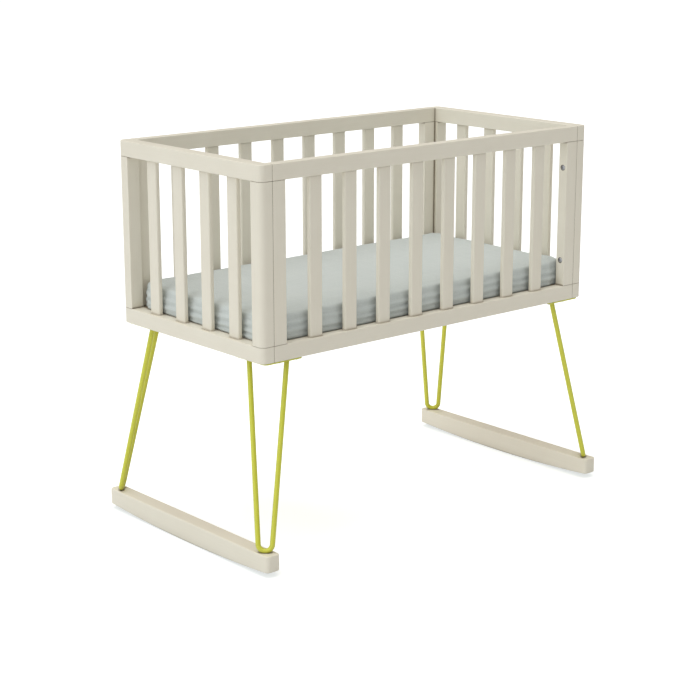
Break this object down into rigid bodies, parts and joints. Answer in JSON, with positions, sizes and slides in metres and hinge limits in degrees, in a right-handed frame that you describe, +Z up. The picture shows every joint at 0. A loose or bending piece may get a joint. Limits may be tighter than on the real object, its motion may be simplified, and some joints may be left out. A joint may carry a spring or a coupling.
{
  "type": "baby cradle",
  "caption": "Slatted wooden baby cradle with a mattress, on splayed hairpin rod legs that stand on two curved rocker skids.",
  "frame": {"origin": "centre of the cradle's outline, on the floor under the rocker skids", "axes": "+X along the cradle, across the rockers; +Y across the cradle, along the rockers; +Z up"},
  "size_m": [0.912, 0.524, 0.7645],
  "materials": {
    "painted_wood": "satin off-white paint",
    "lime_enamel": "satin lime green powder coat",
    "zinc_steel": "zinc plated",
    "mattress_cover": "pale grey-blue woven cotton",
    "base_board": "bare birch plywood",
    "batten_wood": "bare beech"
  },
  "bodies": {
    "cradle": {"batten_screws": "zinc_steel", "bracket_left_back": "lime_enamel", "bracket_left_front": "lime_enamel", "bracket_right_back": "lime_enamel", "bracket_right_front": "lime_enamel", "bracket_screws": "zinc_steel", "end_left_bottom_rail": "painted_wood", "end_left_post_a": "painted_wood", "end_left_post_b": "painted_wood", "end_left_slat_1": "painted_wood", "end_left_slat_2": "painted_wood", "end_left_slat_3": "painted_wood", "end_left_slat_4": "painted_wood", "end_left_top_rail": "painted_wood", "end_right_bottom_rail": "painted_wood", "end_right_post_a": "painted_wood", "end_right_post_b": "painted_wood", "end_right_slat_1": "painted_wood", "end_right_slat_2": "painted_wood", "end_right_slat_3": "painted_wood", "end_right_slat_4": "painted_wood", "end_right_top_rail": "painted_wood", "leg_left_back": "lime_enamel", "leg_left_front": "lime_enamel", "leg_right_back": "lime_enamel", "leg_right_front": "lime_enamel", "mattress_base": "base_board", "panel_bolts": "zinc_steel", "side_back_batten": "batten_wood", "side_back_bottom_rail": "painted_wood", "side_back_slat_1": "painted_wood", "side_back_slat_2": "painted_wood", "side_back_slat_3": "painted_wood", "side_back_slat_4": "painted_wood", "side_back_slat_5": "painted_wood", "side_back_slat_6": "painted_wood", "side_back_slat_7": "painted_wood", "side_back_slat_8": "painted_wood", "side_back_stile_a": "painted_wood", "side_back_stile_b": "painted_wood", "side_back_top_rail": "painted_wood", "side_front_batten": "batten_wood", "side_front_bottom_rail": "painted_wood", "side_front_slat_1": "painted_wood", "side_front_slat_2": "painted_wood", "side_front_slat_3": "painted_wood", "side_front_slat_4": "painted_wood", "side_front_slat_5": "painted_wood", "side_front_slat_6": "painted_wood", "side_front_slat_7": "painted_wood", "side_front_slat_8": "painted_wood", "side_front_stile_a": "painted_wood", "side_front_stile_b": "painted_wood", "side_front_top_rail": "painted_wood", "skid_left": "painted_wood", "skid_right": "painted_wood", "skid_screws": "zinc_steel", "threaded_inserts": "zinc_steel"},
    "mattress": {"mattress": "mattress_cover"}
  },
  "joints": [
    {"name": "mattress_lift", "type": "slide", "parent": "cradle", "child": "mattress", "axis": [0, 0, 1], "range_m": [0, 0.36]}
  ]
}
